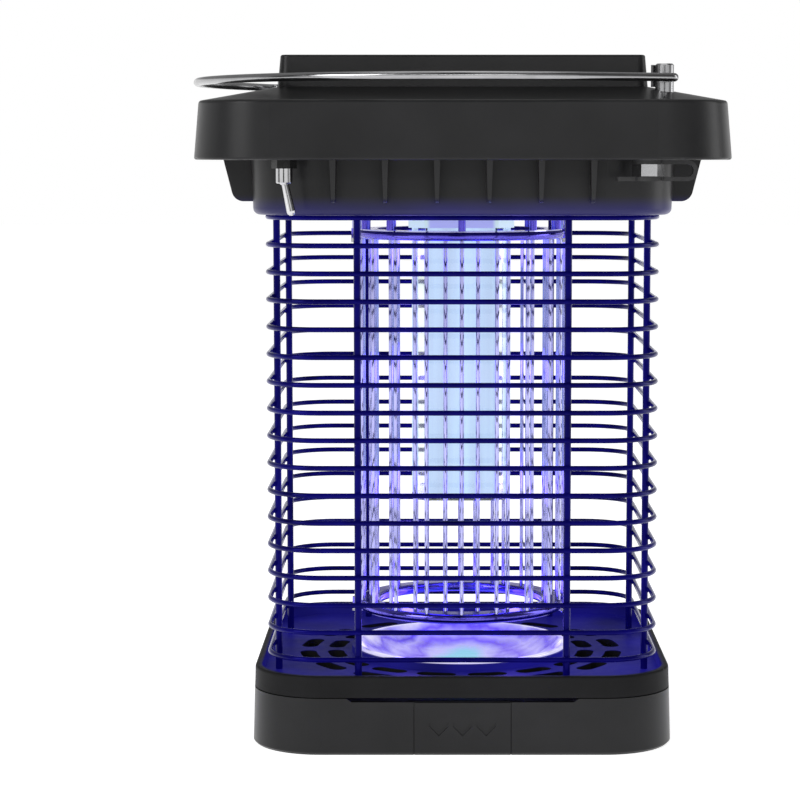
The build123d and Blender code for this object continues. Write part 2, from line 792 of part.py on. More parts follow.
def bail_post(side):
    """Turned post with a stud below and the hole for the bail's end."""
    with BuildPart() as post:
        with Locations((side * bail_post_xy, -side * bail_post_xy, bail_post_foot)):
            Cylinder(bail_post_radius, bail_post_top - bail_post_foot, align=LOW)
        chamfer(post.faces().sort_by(Axis.Z)[-1].edges(), 0.5)
        # flat plate against the post's inner side
        plate_offset = (bail_post_radius + bail_plate_thickness / 2 - 0.2) * sin(radians(45))
        plate_xy = side * (bail_post_xy - plate_offset)
        with Locations(Location((plate_xy, -plate_xy, bail_plate_foot), (0, 0, -45))):
            Box(
                bail_plate_thickness, bail_plate_width, bail_plate_top - bail_plate_foot, align=LOW
            )
        with Locations((side * bail_post_xy, -side * bail_post_xy, bail_stud_bottom)):
            Cylinder(1.5, bail_post_foot - bail_stud_bottom, align=LOW)
        with BuildSketch(Plane(origin=(0, 0, bail_z), x_dir=(1, 1, 0), z_dir=(1, -1, 0))):
            Circle(bail_wire / 2 + running_clearance)
        extrude(amount=side * 120, mode=Mode.SUBTRACT)
    return post


bail_post_right = bail_post(1)
save(bail_post_right, "bail_post_right")
bail_post_left = bail_post(-1)
save(bail_post_left, "bail_post_left")

bail_post_nuts = hex_nuts(bail_posts_xy, bail_boss_bottom - 2.0, 2.0, 2.75, 1.5)
save(bail_post_nuts, "bail_post_nuts")

end_cos = cos(radians(bail_end_angle))
end_sin = sin(radians(bail_end_angle))
bail_corner = bail_radius / end_cos
bend_length = bail_bend_radius * tan(radians((90 + bail_end_angle) / 2))
bend_start = bail_corner - bend_length
bend_end = (bail_corner - bend_length * end_sin, bend_length * end_cos)
arc_end = (bail_radius * end_cos, bail_radius * end_sin)

with BuildPart() as bail_handle:
    with BuildLine(diagonal) as bail_path:
        Line((bail_pin_inner, 0), (bend_start, 0))
        CenterArc((bend_start, bail_bend_radius), bail_bend_radius, -90, 90 + bail_end_angle)
        Line(bend_end, arc_end)
        CenterArc((0, 0), bail_radius, bail_end_angle, 180 - 2 * bail_end_angle)
        Line((-arc_end[0], arc_end[1]), (-bend_end[0], bend_end[1]))
        CenterArc(
            (-bend_start, bail_bend_radius), bail_bend_radius, 180 - bail_end_angle, 90 + bail_end_angle
        )
        Line((-bend_start, 0), (-bail_pin_inner, 0))
    with BuildSketch(Plane(origin=bail_path.line @ 0, z_dir=bail_path.line % 0)):
        Circle(bail_wire / 2)
    sweep()
save(bail_handle, "bail_handle")

# ---------------------------------------------------------------- toggle switch

with BuildPart() as toggle_body:
    with Locations((toggle_x, toggle_y, brim_top)):
        Box(13, 8, 10, align=LOW)
    with Locations((toggle_x, toggle_y, brim_top + 10)):
        with GridLocations(4.5, 0, 3, 1):
            Box(0.8, 2.2, 4, align=LOW)
save(toggle_body, "toggle_body")

with BuildPart() as toggle_bushing:
    with Locations((toggle_x, toggle_y, bushing_bottom_z)):
        Cylinder(bushing_radius, brim_top - bushing_bottom_z, align=LOW)
        Cylinder(bushing_bore, brim_top - bushing_bottom_z, align=LOW, mode=Mode.SUBTRACT)
    outer_rim = toggle_bushing.faces().sort_by(Axis.Z)[0].edges().sort_by(SortBy.RADIUS)[-1]
    chamfer(outer_rim, 0.3)
save(toggle_bushing, "toggle_bushing")

toggle_nut = hex_nuts(
    [(toggle_x, toggle_y)], toggle_nut_z, brim_z - toggle_nut_z, toggle_nut_radius, bushing_radius
)
save(toggle_nut, "toggle_nut")

lever_axis = Plane(
    origin=(toggle_x, toggle_y, toggle_pivot_z),
    x_dir=(cos(radians(toggle_tilt)), 0, sin(radians(toggle_tilt))),
    z_dir=(0, -1, 0),
)
with BuildPart() as toggle_lever:
    with BuildSketch(lever_axis):
        with BuildLine():
            Polyline(
                (0, 3.6), (0.8, 3.6), (0.8, 1.2), (1.15, -1.4), (1.45, -toggle_length + 1.5),
                (1.3, -toggle_length + 0.75), (0.8, -toggle_length + 0.2), (0, -toggle_length),
                close=True,
            )
        make_face()
    lever_line = Axis(lever_axis.origin, lever_axis.y_dir)
    revolve(axis=lever_line)
    with Locations(lever_axis.origin):
        Sphere(toggle_ball)
save(toggle_lever, "toggle_lever")

# ---------------------------------------------------------------- charging socket and dust plug

with BuildPart() as jack_body:
    with Locations((jack_x, jack_y, jack_nut_z)):
        Cylinder(jack_barrel, brim_top - jack_nut_z, align=LOW)
    with Locations((jack_x, jack_y, brim_top)):
        Cylinder(5.2, 9.5, align=LOW)
    with Locations((jack_x, jack_y, jack_nut_z)):
        Cylinder(jack_bore, 10, align=LOW, mode=Mode.SUBTRACT)
    with Locations((jack_x, jack_y, brim_top)):
        Cylinder(1.0, 9.5, align=LOW, mode=Mode.SUBTRACT)
save(jack_body, "jack_body")

with BuildPart() as jack_pin:
    with Locations((jack_x, jack_y, jack_nut_z + 0.9)):
        Cylinder(1.0, brim_top + 12 - jack_nut_z, align=LOW)
    chamfer(jack_pin.faces().sort_by(Axis.Z)[0].edges(), 0.3)
save(jack_pin, "jack_pin")

jack_nut = hex_nuts(
    [(jack_x, jack_y)], jack_nut_z, strap_ring_z - jack_nut_z, jack_nut_radius, jack_barrel
)
save(jack_nut, "jack_nut")

plug_top_z = plug_bottom_z + strap_thickness
with BuildPart() as dust_plug:
    with Locations((jack_x, jack_y, plug_bottom_z)):
        Cylinder(4.5, strap_thickness, align=LOW)
    with Locations((jack_x - 6.9, jack_y, plug_bottom_z)):
        Box(6.6, 3.2, strap_thickness, align=LOW)
    fillet(dust_plug.edges().filter_by(Axis.Z).group_by(Axis.X)[0], 1.2)
    with Locations((jack_x, jack_y, plug_top_z)):
        Cylinder(jack_bore - 0.35, 3.8, align=LOW)
        Cylinder(1.45, 3.8, align=LOW, mode=Mode.SUBTRACT)
save(dust_plug, "dust_plug")

loop_radius = (brim_z - plug_bottom_z - strap_thickness) / 2
loop_x = jack_x + strap_reach - loop_radius - strap_thickness / 2
loop_z = (brim_z + plug_bottom_z) / 2
with BuildPart() as dust_strap:
    with BuildSketch(Plane.XZ.offset(-jack_y)):
        with BuildLine() as strap_path:
            upper = Line((jack_x + 3, loop_z + loop_radius), (loop_x, loop_z + loop_radius))
            bend = TangentArc(upper @ 1, (loop_x, loop_z - loop_radius), tangent=(1, 0))
            Line(bend @ 1, (jack_x + 4.85, loop_z - loop_radius))
        trace(line_width=strap_thickness)
    extrude(amount=strap_width / 2, both=True)
    with Locations((jack_x, jack_y, brim_z - strap_thickness)):
        Cylinder(4.8, strap_thickness, align=LOW)
        Cylinder(jack_barrel, strap_thickness, align=LOW, mode=Mode.SUBTRACT)
save(dust_strap, "dust_strap")

# ---------------------------------------------------------------- battery and electronics in the head

cell_z = head_floor_top + holder_plate + cell_radius
holder_low_y = cell_rows[0] - cell_radius - 0.6
holder_high_y = cell_rows[1] + cell_radius + 0.6
holder_y = (holder_low_y + holder_high_y) / 2
contact_thickness = 1.0

with BuildPart() as battery_cells:
    for row in cell_rows:
        with Locations(Location((0, row, cell_z), (0, 90, 0))):
            Cylinder(cell_radius, cell_length)
save(battery_cells, "battery_cells")

with BuildPart() as battery_contacts:
    for side in (-1, 1):
        with Locations((side * (cell_length + contact_thickness) / 2, holder_y, cell_z)):
            Box(contact_thickness, holder_high_y - holder_low_y - 6, 9)
save(battery_contacts, "battery_contacts")

with BuildPart() as battery_holder:
    with Locations((0, holder_y, head_floor_top)):
        Box(cell_length + 8, holder_high_y - holder_low_y, holder_plate, align=LOW)
    for side in (-1, 1):
        with Locations((side * (cell_length / 2 + contact_thickness + 1.5), holder_y, head_floor_top)):
            Box(3, holder_high_y - holder_low_y, 15, align=LOW)
save(battery_holder, "battery_holder")

pcb_middle = ((pcb_low[0] + pcb_high[0]) / 2, (pcb_low[1] + pcb_high[1]) / 2)
pcb_size = (pcb_high[0] - pcb_low[0], pcb_high[1] - pcb_low[1])
board_top_z = board_z + pcb_thickness
standoff_grid = (pcb_size[0] - 14, pcb_size[1] - 8)

with BuildPart() as control_board:
    with BuildSketch(Plane.XY.offset(board_z)):
        with Locations(pcb_middle):
            RectangleRounded(*pcb_size, 2)
            with GridLocations(*standoff_grid, 2, 2):
                Circle(1.2, mode=Mode.SUBTRACT)
    extrude(amount=pcb_thickness)
save(control_board, "control_board")

with BuildPart() as board_standoffs:
    with BuildSketch(Plane.XY.offset(head_floor_top)):
        with Locations(pcb_middle):
            with GridLocations(*standoff_grid, 2, 2):
                Circle(2.6)
                Circle(1.2, mode=Mode.SUBTRACT)
    extrude(amount=board_z - head_floor_top)
save(board_standoffs, "board_standoffs")

with BuildPart() as board_screws:
    with Locations((*pcb_middle, board_z - 4)):
        with GridLocations(*standoff_grid, 2, 2):
            Cylinder(1.2, 4 + pcb_thickness, align=LOW)
    with Locations((*pcb_middle, board_top_z)):
        with GridLocations(*standoff_grid, 2, 2):
            Cylinder(2.2, 1.4, align=LOW)
save(board_screws, "board_screws")

transformer_x = pcb_middle[0]
with BuildPart() as hv_transformer:
    with Locations((transformer_x, 0, board_top_z)):
        Box(16, 18, 13, align=LOW)
    fillet(hv_transformer.edges().filter_by(Axis.Z), 1.5)
save(hv_transformer, "hv_transformer")

with BuildPart() as capacitors:
    with Locations((transformer_x, -22, board_top_z)):
        with GridLocations(10, 11, 3, 2):
            Cylinder(4, 12, align=LOW)
    fillet(capacitors.faces().sort_by(Axis.Z)[-1].edges(), 0.5)
save(capacitors, "capacitors")

with BuildPart() as control_chips:
    with Locations((transformer_x, -42, board_top_z)):
        with GridLocations(11, 0, 3, 1):
            Box(6, 5, 1.6, align=LOW)
save(control_chips, "control_chips")

# insulated leads from the transformer to the two stays
lead_start_z = board_top_z + 6
lead_side = transformer_x + 8
lead_end_z = stay_top_z + lead_radius


def wire(points, radii):
    """Round wire that follows straight runs joined by arcs."""
    with BuildPart() as lead:
        with BuildLine() as path:
            FilletPolyline(*points, radius=radii)
        with BuildSketch(Plane(origin=path.line @ 0, z_dir=path.line % 0)):
            Circle(lead_radius)
        sweep()
    return lead.part


with BuildPart() as hv_leads:
    add(
        wire(
            [
                (lead_side, -4, lead_start_z), (-22, -4, lead_start_z), (-2, -10, 200),
                (25, -3, 199), (stay_circle, 0, 196), (stay_circle, 0, stay_top_z),
            ],
            [6, 9, 9, 5],
        )
    )
    add(
        wire(
            [
                (lead_side, 5, lead_start_z), (-27, 5, lead_start_z), (-23.4, 4.5, 196),
                (-23.4, 3, lead_end_z + 0.5), (-30, 1.2, lead_end_z), (-stay_circle - 1, 0, lead_end_z),
            ],
            [3, 2.5, 2.2, 3],
        )
    )
save(hv_leads, "hv_leads")
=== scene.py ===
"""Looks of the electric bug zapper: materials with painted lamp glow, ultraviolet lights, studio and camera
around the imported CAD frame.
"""
import bpy
import json
import math
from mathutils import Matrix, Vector


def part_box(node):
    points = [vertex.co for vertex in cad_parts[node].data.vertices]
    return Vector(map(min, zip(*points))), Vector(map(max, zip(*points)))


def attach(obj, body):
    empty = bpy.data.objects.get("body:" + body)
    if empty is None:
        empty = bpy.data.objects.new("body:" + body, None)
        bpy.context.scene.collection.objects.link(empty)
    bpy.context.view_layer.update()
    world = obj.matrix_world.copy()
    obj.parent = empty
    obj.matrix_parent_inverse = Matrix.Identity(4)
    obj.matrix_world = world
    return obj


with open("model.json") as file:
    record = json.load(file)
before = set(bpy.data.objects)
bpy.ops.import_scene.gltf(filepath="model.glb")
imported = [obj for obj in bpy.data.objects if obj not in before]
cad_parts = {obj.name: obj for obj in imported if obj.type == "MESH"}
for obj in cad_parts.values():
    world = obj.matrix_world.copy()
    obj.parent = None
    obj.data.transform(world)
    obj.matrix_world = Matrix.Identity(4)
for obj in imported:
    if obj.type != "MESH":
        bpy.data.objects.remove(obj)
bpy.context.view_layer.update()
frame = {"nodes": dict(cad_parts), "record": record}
nodes = frame["nodes"]

# ---------------------------------------------------------------- sizes and places

MM = 0.001
CAMERA_PLACE = (-8.57 * MM, -903.7 * MM, 203.1 * MM)
CAMERA_TILT = math.radians(90 - 5.68)
CAMERA_LENS = 113.1
CAMERA_SHIFT = (-0.0464, 0.0004)

deck_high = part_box("base_deck")[1]
head_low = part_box("head_base")[0]
funnel_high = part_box("funnel")[1]

# sizes of the CAD part that its boxes don't give
DECK_CORNER = 24 * MM
DECK_FLOOR = deck_high.z - 4.6 * MM
RING_COUNT = 17
RING_WIRE = 1.75 * MM
POST_NEAR = 35.3 * MM

# a weld bead's half-sizes: out from the ring, along it and upright, and its (radius, height) outline
BEAD_OUT = 0.62 * MM
BEAD_ALONG = 1.35 * MM
BEAD_RISE = 1.0 * MM
BEAD_OUTLINE = [(0.05, -1), (0.62, -0.78), (0.93, -0.38), (1.0, 0), (0.93, 0.38), (0.62, 0.78), (0.05, 1)]
BEAD_STEPS = 12

# where the painted lamp glow on a surface is full, and where it has gone
RIM_GLOW = (DECK_CORNER - 2.9 * MM, DECK_CORNER - 1.1 * MM)
RIM_TOP_GLOW = (deck_high.z - 1.5 * MM, deck_high.z + 0.9 * MM)
DECK_FLOOR_GLOW = (DECK_FLOOR + 0.1 * MM, DECK_FLOOR - 0.3 * MM)
HEAD_GLOW = (head_low.z + 0.5 * MM, head_low.z + 7 * MM)
COLLAR_BEVEL = (10 * MM, 13 * MM)

# painted reflection: bright spot on the bowl's back wall, and the distances from it that count as 0 and 1
PAINTED_GLINT = (0, 17 * MM, 15 * MM)
PAINTED_GLINT_REACH = (-3 * MM, 26 * MM)

# ultraviolet points of light inside the cage
GLOW_RADIUS = 26 * MM
GLOW_LEVELS = 4
GLOW_START = deck_high.z + 12 * MM
GLOW_STEP = 42 * MM
GLOW_SIZE = 6 * MM
GLOW_POWER = 0.010

FLOOR_HALF = 6.0

# colours, linear
CHARCOAL_DARK = (0.012, 0.012, 0.0125, 1)
CHARCOAL_LIGHT = (0.018, 0.018, 0.019, 1)
NAVY_DARK = (0.001, 0.0008, 0.02, 1)
NAVY_LIGHT = (0.0025, 0.002, 0.07, 1)
ULTRAVIOLET = (0.16, 0.10, 1.0)
WHITE = (1, 1, 1, 1)


# ---------------------------------------------------------------- material helpers

class Shader:
    """A Principled material that is built up node by node."""

    def __init__(self, name):
        self.material = bpy.data.materials.new(name)
        self.material.use_nodes = True
        self.tree = self.material.node_tree
        self.surface = self.tree.nodes["Principled BSDF"]
        self.place = self.node("ShaderNodeTexCoord").outputs["Object"]

    def node(self, kind, **settings):
        made = self.tree.nodes.new(kind)
        for key, value in settings.items():
            setattr(made, key, value)
        return made

    def link(self, source, target):
        self.tree.links.new(source, target)

    def set(self, **values):
        for key, value in values.items():
            self.surface.inputs[key.replace("_", " ")].default_value = value

    def stretched(self, scale):
        """The object's own coordinates, scaled differently along each axis."""
        mapping = self.node("ShaderNodeMapping")
        mapping.inputs["Scale"].default_value = scale
        self.link(self.place, mapping.inputs["Vector"])
        return mapping.outputs["Vector"]

    def noise(self, scale, detail=2.0, stretch=None):
        texture = self.node("ShaderNodeTexNoise")
        texture.inputs["Scale"].default_value = scale
        texture.inputs["Detail"].default_value = detail
        self.link(self.stretched(stretch) if stretch else self.place, texture.inputs["Vector"])
        return texture.outputs["Fac"]

    def ramp(self, factor, stops):
        """Colour ramp through (position, colour) stops."""
        ramp = self.node("ShaderNodeValToRGB")
        self.link(factor, ramp.inputs["Fac"])
        while len(ramp.color_ramp.elements) < len(stops):
            ramp.color_ramp.elements.new(0.5)
        for element, (position, colour) in zip(ramp.color_ramp.elements, stops):
            element.position = position
            element.color = colour
        return ramp.outputs["Color"]

    def remapped(self, field, start, end, low, high, curve="LINEAR"):
        """The field's start..end run mapped to low..high."""
        remap = self.node("ShaderNodeMapRange", interpolation_type=curve)
        sockets = ("From Min", "From Max", "To Min", "To Max")
        for socket, value in zip(sockets, (start, end, low, high)):
            remap.inputs[socket].default_value = value
        self.link(field, remap.inputs["Value"])
        return remap.outputs["Result"]

    def spread(self, factor, low, high):
        """A noise factor, which mostly lies between 0.3 and 0.7, remapped to run from low to high."""
        return self.remapped(factor, 0.3, 0.7, low, high)

    def colour(self, factor, dark, light, target="Base Color"):
        self.link(self.ramp(factor, [(0.3, dark), (0.7, light)]), self.surface.inputs[target])

    def roughness(self, factor, low, high):
        self.link(self.spread(factor, low, high), self.surface.inputs["Roughness"])

    def painted_lamp_light(self, strength_field, dark, light):
        """Painted violet lamp light as emission, as strong as a field that runs from 0 to 1."""
        self.colour(self.noise(25, 2), dark, light, "Emission Color")
        self.link(strength_field, self.surface.inputs["Emission Strength"])

    def scaled(self, field, low, high):
        """The field's low..high run mapped to 0..1."""
        return self.remapped(field, low, high, 0, 1)

    def fade(self, field, full, none):
        """1 where the field is at full, falling smoothly to 0 at none."""
        return self.remapped(field, full, none, 1, 0, "SMOOTHSTEP")

    def height(self):
        split = self.node("ShaderNodeSeparateXYZ")
        self.link(self.place, split.inputs["Vector"])
        return split.outputs["Z"]

    def unsigned_place(self):
        """Distance from the middle along each axis."""
        size = self.node("ShaderNodeVectorMath", operation="ABSOLUTE")
        self.link(self.place, size.inputs[0])
        return size.outputs[0]

    def beyond_square(self, half):
        """Distance outside a square of that half-width round the upright axis."""
        rest = self.node("ShaderNodeVectorMath", operation="SUBTRACT")
        self.link(self.unsigned_place(), rest.inputs[0])
        rest.inputs[1].default_value = (half, half, 1)
        outside = self.node("ShaderNodeVectorMath", operation="MAXIMUM")
        self.link(rest.outputs[0], outside.inputs[0])
        outside.inputs[1].default_value = (0, 0, 0)
        length = self.node("ShaderNodeVectorMath", operation="LENGTH")
        self.link(outside.outputs[0], length.inputs[0])
        return length.outputs["Value"]

    def combined(self, operation, first, second):
        """Two fields put together by a Math node's operation."""
        combined = self.node("ShaderNodeMath", operation=operation)
        self.link(first, combined.inputs[0])
        self.link(second, combined.inputs[1])
        return combined.outputs[0]

    def bump(self, height, strength, distance):
        bump = self.node("ShaderNodeBump")
        bump.inputs["Strength"].default_value = strength
        bump.inputs["Distance"].default_value = distance
        self.link(height, bump.inputs["Height"])
        self.link(bump.outputs["Normal"], self.surface.inputs["Normal"])


def plastic_shader(name, dark, light, rough, grain, strength, shine):
    """Injection-moulded plastic with a fine spark-eroded grain."""
    shader = Shader(name)
    shader.colour(shader.noise(35, 4), dark, light)
    shader.roughness(shader.noise(300, 3), *rough)
    shader.bump(shader.noise(grain, 2), strength, 0.06 * MM)
    shader.set(Specular_IOR_Level=shine)
    return shader


def moulded_plastic(name, dark, light, rough=(0.31, 0.34), grain=1800.0, strength=0.15, shine=0.22):
    return plastic_shader(name, dark, light, rough, grain, strength, shine).material


def painted_glow_deck(name):
    """The base's charcoal plastic, with a painted violet-blue lamp glow inside the rim of the deck."""
    shader = plastic_shader(name, CHARCOAL_DARK, CHARCOAL_LIGHT, (0.45, 0.50), 1800.0, 0.15, 0.06)
    reach = shader.beyond_square(deck_high.x - DECK_CORNER)
    rim = shader.fade(reach, *RIM_GLOW)
    # mask of the painted violet-blue lamp glow: inside the rim, between the deck floor and the rim top
    inside = shader.combined("MULTIPLY", rim, shader.fade(shader.height(), *RIM_TOP_GLOW))
    inside = shader.combined("MULTIPLY", inside, shader.fade(shader.height(), *DECK_FLOOR_GLOW))
    shader.painted_lamp_light(inside, (0.001, 0.001, 0.06, 1), (0.008, 0.006, 0.24, 1))
    return shader.material


def painted_glow_head_plastic(name):
    """The head's charcoal plastic, with a painted violet-blue lamp glow underneath."""
    shader = plastic_shader(name, CHARCOAL_DARK, CHARCOAL_LIGHT, (0.31, 0.34), 1800.0, 0.15, 0.22)
    # painted lamp glow, strongest at the underside
    under = shader.fade(shader.height(), *HEAD_GLOW)
    shader.painted_lamp_light(under, (0.004, 0.003, 0.07, 1), (0.010, 0.007, 0.12, 1))
    return shader.material


def polished_metal(name, dark, light, rough=(0.05, 0.12), stretch=None, strength=0.04):
    """Polished or plated metal with faint smears and drawing marks."""
    shader = Shader(name)
    shader.set(Metallic=1.0)
    shader.colour(shader.noise(60, 3), dark, light)
    shader.roughness(shader.noise(180, 3), *rough)
    shader.bump(shader.noise(900, 2, stretch), strength, 0.02 * MM)
    return shader.material


def painted_glow_wire(name):
    """Black-blue powder coat on the cage, with a painted violet-blue lamp glow as emission and painted blue
    highlights from a blue specular tint.
    """
    shader = Shader(name)
    shader.colour(shader.noise(120, 3), NAVY_DARK, NAVY_LIGHT)
    shader.roughness(shader.noise(500, 2), 0.14, 0.22)
    shader.bump(shader.noise(2200, 2), 0.06, 0.03 * MM)
    # blue specular tint: painted blue highlights standing in for the lamp's light
    shader.set(Specular_IOR_Level=0.30, Specular_Tint=(0.10, 0.09, 1.0, 1), Emission_Strength=0.5)
    # painted violet-blue lamp glow as emission
    shader.colour(shader.noise(30, 2), (0.0005, 0.0003, 0.03, 1), (0.003, 0.002, 0.13, 1), "Emission Color")
    return shader.material


def painted_glow_bowl(name):
    """Bright metallised bowl with a painted violet reflection tint and a painted lamp glow as emission: a
    cyan painted reflection at one spot, violet further out.
    """
    shader = Shader(name)
    # violet-blue metal tint: painted reflection of the lamp's violet light
    shader.colour(shader.noise(60, 3), (0.30, 0.26, 0.85, 1), (0.45, 0.42, 0.95, 1))
    shader.roughness(shader.noise(180, 3), 0.08, 0.16)
    shader.bump(shader.noise(900, 2), 0.04, 0.02 * MM)
    # painted glow colour by distance from the throat or from the painted bright spot, whichever is nearer,
    # with a swirl
    spot = shader.node("ShaderNodeVectorMath", operation="DISTANCE")
    shader.link(shader.place, spot.inputs[0])
    spot.inputs[1].default_value = PAINTED_GLINT
    from_throat = shader.scaled(shader.beyond_square(0), 0, funnel_high.x)
    from_spot = shader.scaled(spot.outputs["Value"], *PAINTED_GLINT_REACH)
    nearer = shader.combined("MINIMUM", from_throat, from_spot)
    reach = shader.combined("ADD", nearer, shader.spread(shader.noise(75, 3), -0.09, 0.09))
    # painted lamp glow colours: cyan near the spot, violet and white further out
    stops = [
        (0.36, (0.30, 0.75, 0.85, 1)), (0.50, (0.62, 0.60, 1.0, 1)), (0.64, (0.24, 0.16, 0.90, 1)),
        (0.74, (0.55, 0.50, 1.0, 1)), (0.84, (0.14, 0.08, 0.80, 1)), (0.97, (0.85, 0.82, 1.0, 1)),
    ]
    shader.link(shader.ramp(reach, stops), shader.surface.inputs["Emission Color"])
    shader.set(Metallic=1.0, Emission_Strength=0.75)
    return shader.material


def clear_plastic(name, tint, roughness=0.03):
    """Clear tube or cover with faint moulding waves."""
    shader = Shader(name)
    shader.colour(shader.noise(40, 2), tint, WHITE)
    shader.set(Transmission_Weight=1.0, IOR=1.45)
    shader.roughness(shader.noise(200, 2), roughness, roughness * 2)
    shader.bump(shader.noise(90, 1), 0.05, 0.02 * MM)
    return shader.material


def painted_glow_collar(name):
    """Collar round the top of the lamp with a painted glow as emission: lavender over the panels, pale green
    over the bevels.
    """
    shader = Shader(name)
    split = shader.node("ShaderNodeSeparateXYZ")
    shader.link(shader.unsigned_place(), split.inputs["Vector"])
    nearer = shader.combined("MINIMUM", split.outputs["X"], split.outputs["Y"])
    bevel = shader.fade(nearer, *COLLAR_BEVEL)
    # painted glow colour: pale green over the bevels, lavender over the panels
    shader.link(
        shader.ramp(bevel, [(0.2, (0.62, 0.80, 0.84, 1)), (0.8, (0.38, 0.40, 0.86, 1))]),
        shader.surface.inputs["Emission Color"],
    )
    shader.colour(shader.noise(80, 2), (0.15, 0.18, 0.25, 1), (0.20, 0.24, 0.32, 1))
    shader.set(Emission_Strength=0.8, Roughness=0.2)
    return shader.material


def lit_diffuser(name):
    """Milky panel in front of the diodes, with faint upright streaks."""
    shader = Shader(name)
    streaks = shader.noise(220, 3, (1, 1, 0.02))
    shader.colour(streaks, (0.16, 0.20, 0.26, 1), (0.20, 0.26, 0.32, 1))
    shader.colour(streaks, (0.46, 0.55, 0.74, 1), (0.55, 0.68, 0.90, 1), "Emission Color")
    shader.set(Emission_Strength=0.85, Roughness=0.35)
    return shader.material


def rubber(name):
    """Soft matt rubber of the dust plug and its strap."""
    shader = Shader(name)
    shader.colour(shader.noise(150, 3), (0.012, 0.012, 0.013, 1), (0.022, 0.022, 0.023, 1))
    shader.roughness(shader.noise(700, 2), 0.55, 0.7)
    shader.bump(shader.noise(2600, 2), 0.3, 0.05 * MM)
    return shader.material


def solar_cell(name):
    """Dark blue silicon with fine silver fingers."""
    shader = Shader(name)
    fingers = shader.node("ShaderNodeTexWave", wave_type="BANDS", bands_direction="X")
    fingers.inputs["Scale"].default_value = 180
    shader.link(shader.place, fingers.inputs["Vector"])
    stops = [(0.0, (0.008, 0.012, 0.05, 1)), (0.93, (0.010, 0.016, 0.07, 1)), (0.98, (0.35, 0.37, 0.42, 1))]
    shader.link(shader.ramp(fingers.outputs["Fac"], stops), shader.surface.inputs["Base Color"])
    shader.roughness(shader.noise(250, 3), 0.15, 0.3)
    shader.set(Coat_Weight=0.5)
    return shader.material


def printed(name, dark, light, rough=(0.3, 0.45)):
    """Small electronic part: smooth, slightly uneven colour."""
    shader = Shader(name)
    shader.colour(shader.noise(200, 3), dark, light)
    shader.roughness(shader.noise(400, 2), *rough)
    shader.bump(shader.noise(1500, 2), 0.1, 0.03 * MM)
    return shader.material


def grey(value):
    """A faintly cool grey."""
    return (value, value, value * 1.02, 1)


charcoal = moulded_plastic("charcoal_plastic", CHARCOAL_DARK, CHARCOAL_LIGHT)
cage_coat_painted_glow = painted_glow_wire("cage_paint")
chrome = polished_metal("bright_chrome", grey(0.55), grey(0.70))
bail_steel = polished_metal("bail_steel", grey(0.30), grey(0.42), (0.14, 0.24))
# lavender-blue tint: painted reflection of the lamp's violet light
rod_metal_painted_violet = polished_metal(
    "rod_metal_painted_violet", (0.34, 0.34, 0.66, 1), (0.48, 0.48, 0.82, 1), (0.06, 0.10), strength=0.004
)
# violet-blue tint: painted reflection of the lamp's violet light
ring_metal_painted_violet = polished_metal(
    "ring_metal_painted_violet", (0.09, 0.07, 0.55, 1), (0.18, 0.15, 0.80, 1), (0.10, 0.18), strength=0.01
)
bowl_metal_painted_glow = painted_glow_bowl("bowl_metal_painted_glow")
zinc = polished_metal("zinc", grey(0.45), grey(0.60), (0.2, 0.35))
black_gloss = moulded_plastic("black_gloss", grey(0.010), grey(0.016), (0.18, 0.28), 900, 0.08)

MATERIALS = {
    "base_plastic": charcoal,
    "head_plastic": charcoal,
    "lid_plastic": charcoal,
    "funnel_chrome": bowl_metal_painted_glow,
    "cage_paint": cage_coat_painted_glow,
    "zinc_steel": zinc,
    "black_steel": black_gloss,
    "ring_gloss": ring_metal_painted_violet,
    "grid_chrome": rod_metal_painted_violet,
    "lamp_clear": clear_plastic("lamp_clear", (0.90, 1.0, 0.97, 1)),
    "lamp_diffuser": lit_diffuser("lamp_diffuser"),
    "core_aluminium": polished_metal("core_aluminium", grey(0.6), grey(0.75), (0.25, 0.4), (1, 1, 0.02)),
    "board_white": printed("board_white", grey(0.75), grey(0.85)),
    "led_chip": printed("led_chip", (0.60, 0.50, 0.95, 1), (0.80, 0.75, 1.0, 1)),
    "backsheet": printed("backsheet", grey(0.55), grey(0.65)),
    "solar_cell": solar_cell("solar_cell"),
    "panel_clear": clear_plastic("panel_clear", (0.85, 0.92, 0.95, 1)),
    "bail_chrome": bail_steel,
    "switch_black": black_gloss,
    "switch_chrome": chrome,
    "brass_contact": polished_metal("brass", (0.55, 0.40, 0.18, 1), (0.75, 0.58, 0.30, 1), (0.15, 0.3)),
    "plug_rubber": rubber("plug_rubber"),
    "cell_wrap": printed("cell_wrap", (0.02, 0.12, 0.30, 1), (0.03, 0.18, 0.40, 1)),
    "board_green": printed("board_green", (0.01, 0.10, 0.03, 1), (0.02, 0.18, 0.06, 1)),
    "core_tape": printed("core_tape", (0.55, 0.42, 0.05, 1), (0.75, 0.60, 0.10, 1)),
    "capacitor_film": printed("capacitor_film", (0.02, 0.07, 0.20, 1), (0.03, 0.12, 0.30, 1)),
    "lead_insulation": printed("lead_insulation", (0.30, 0.015, 0.015, 1), (0.45, 0.03, 0.03, 1)),
}

# nodes with a painted lamp glow have their own version of their slot's material
PAINTED_GLOW_OVERRIDES = {
    "base_deck": painted_glow_deck("painted_glow_deck"),
    "head_base": painted_glow_head_plastic("painted_glow_head_plastic"),
    "lamp_collar": painted_glow_collar("lamp_collar"),
}

for part in frame["record"]["subparts"]:
    mesh = nodes[part["node"]].data
    mesh.materials.clear()
    mesh.materials.append(PAINTED_GLOW_OVERRIDES.get(part["node"]) or MATERIALS[part["material_slot"]])

# ---------------------------------------------------------------- detail pieces

